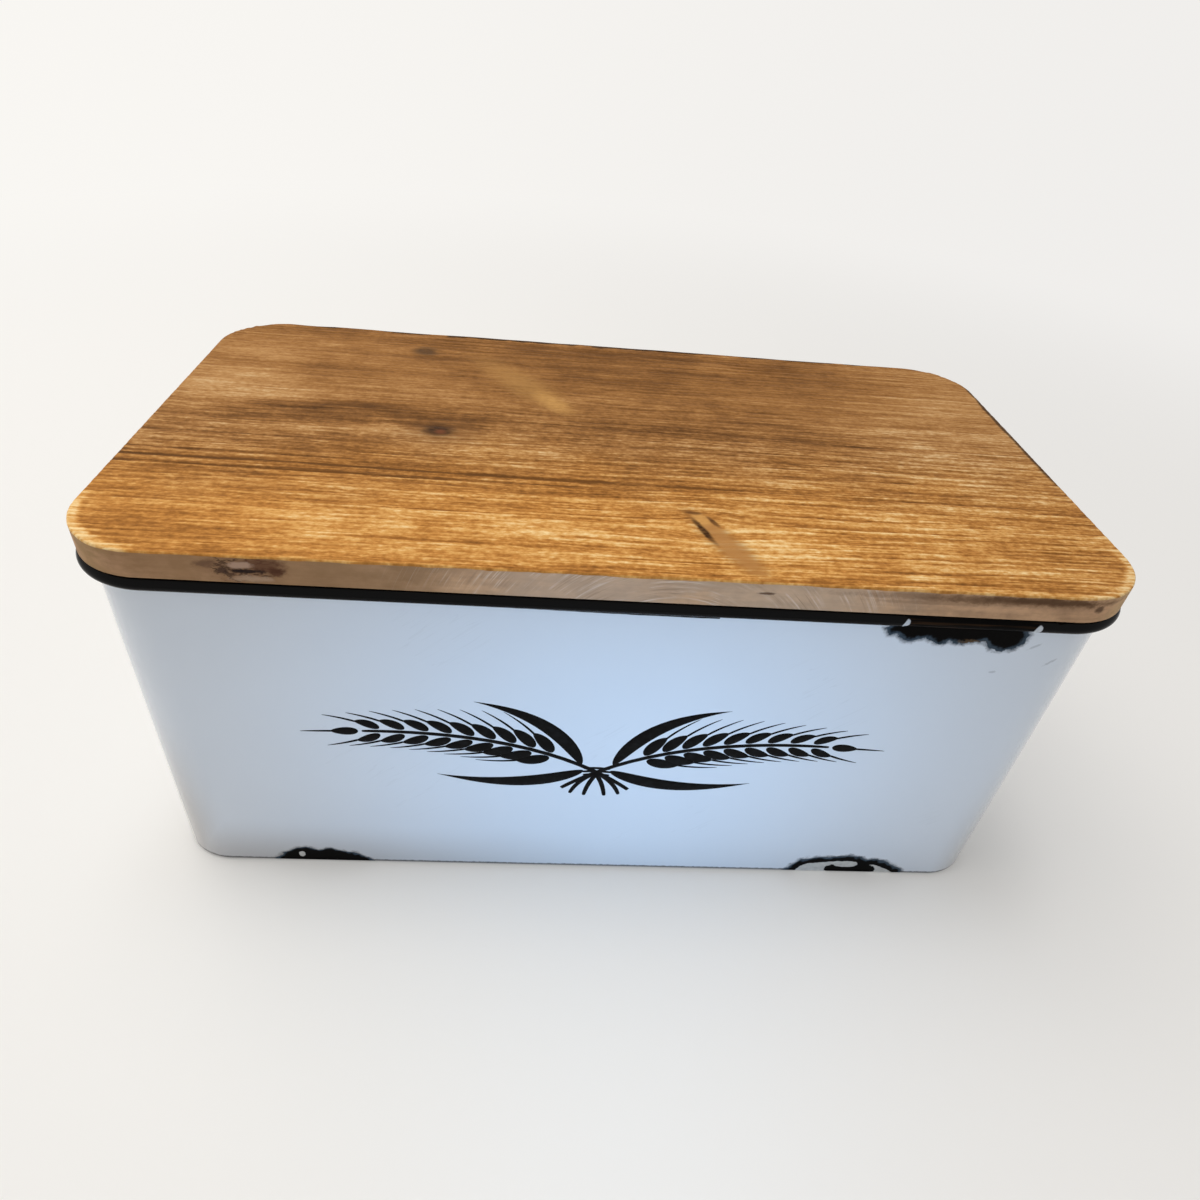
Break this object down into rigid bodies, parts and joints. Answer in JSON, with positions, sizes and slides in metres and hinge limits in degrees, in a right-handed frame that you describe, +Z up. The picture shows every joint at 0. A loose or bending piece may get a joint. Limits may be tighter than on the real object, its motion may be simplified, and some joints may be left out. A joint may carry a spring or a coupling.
{
  "type": "bread box",
  "caption": "Rectangular enamelled steel bread box with rounded corners, a rolled black rim and a loose lift-off wooden board lid that battens keep in place.",
  "frame": {"origin": "middle of the tub's outline, on the surface that it stands on", "axes": "+X along the length, to the right as seen from the front; +Y from the front to the back; +Z up"},
  "size_m": [0.3318, 0.1798, 0.1492],
  "materials": {
    "white_enamel": "glossy glazed enamel on sheet steel, white, with black on the rolled rim and dark chips",
    "wire_steel": "bare drawn wire",
    "lid_wood": "wire-brushed softwood, stained golden brown, satin",
    "batten_wood": "planed softwood, bare",
    "screw_steel": "yellow zinc plated"
  },
  "bodies": {
    "tub": {"tub_wall": "white_enamel", "tub_base": "white_enamel", "rim_wire": "wire_steel"},
    "lid": {"lid_board": "lid_wood", "lid_batten_left": "batten_wood", "lid_batten_right": "batten_wood", "batten_screws": "screw_steel"}
  },
  "joints": [
    {"name": "lid_lift", "type": "slide", "parent": "tub", "child": "lid", "axis": [0, 0, 1], "range_m": [0, 0.2]}
  ]
}
